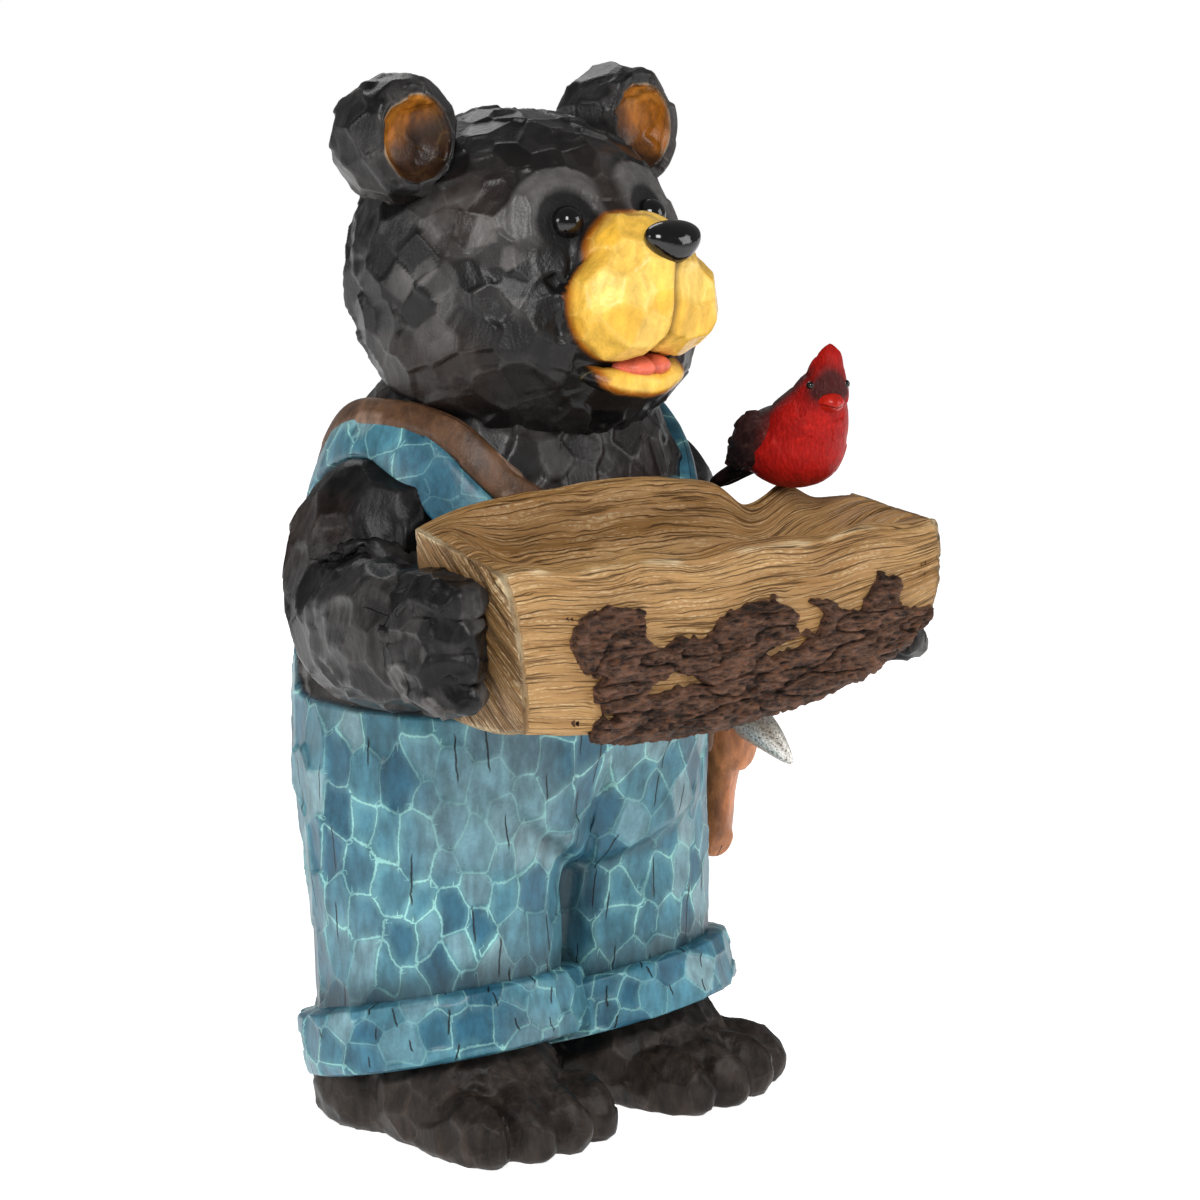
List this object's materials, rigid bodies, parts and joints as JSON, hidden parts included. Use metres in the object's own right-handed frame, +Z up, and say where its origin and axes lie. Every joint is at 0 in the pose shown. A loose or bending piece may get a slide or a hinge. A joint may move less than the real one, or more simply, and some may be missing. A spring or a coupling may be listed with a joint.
{
  "type": "garden statue bird bath",
  "caption": "Standing bear garden statue in dungarees, painted to look carved, holding a hollowed log as a bird bath with a cardinal perched on its rim.",
  "frame": {"origin": "centre of the bounding box at ground level, under the bear", "axes": "+Z up, the bear faces -Y, its right hand is towards -X"},
  "size_m": [0.3927, 0.3055, 0.6111],
  "materials": {
    "bear": "satin painted cast resin: black fur, blue denim, ochre muzzle",
    "log_basin": "painted cast resin with wood grain and bark",
    "cardinal": "painted cast resin, red and dark brown",
    "axe": "painted cast resin, orange-brown handle and silver head"
  },
  "bodies": {
    "root": {"bear": "bear", "log_basin": "log_basin", "cardinal": "cardinal", "axe": "axe"}
  },
  "joints": []
}
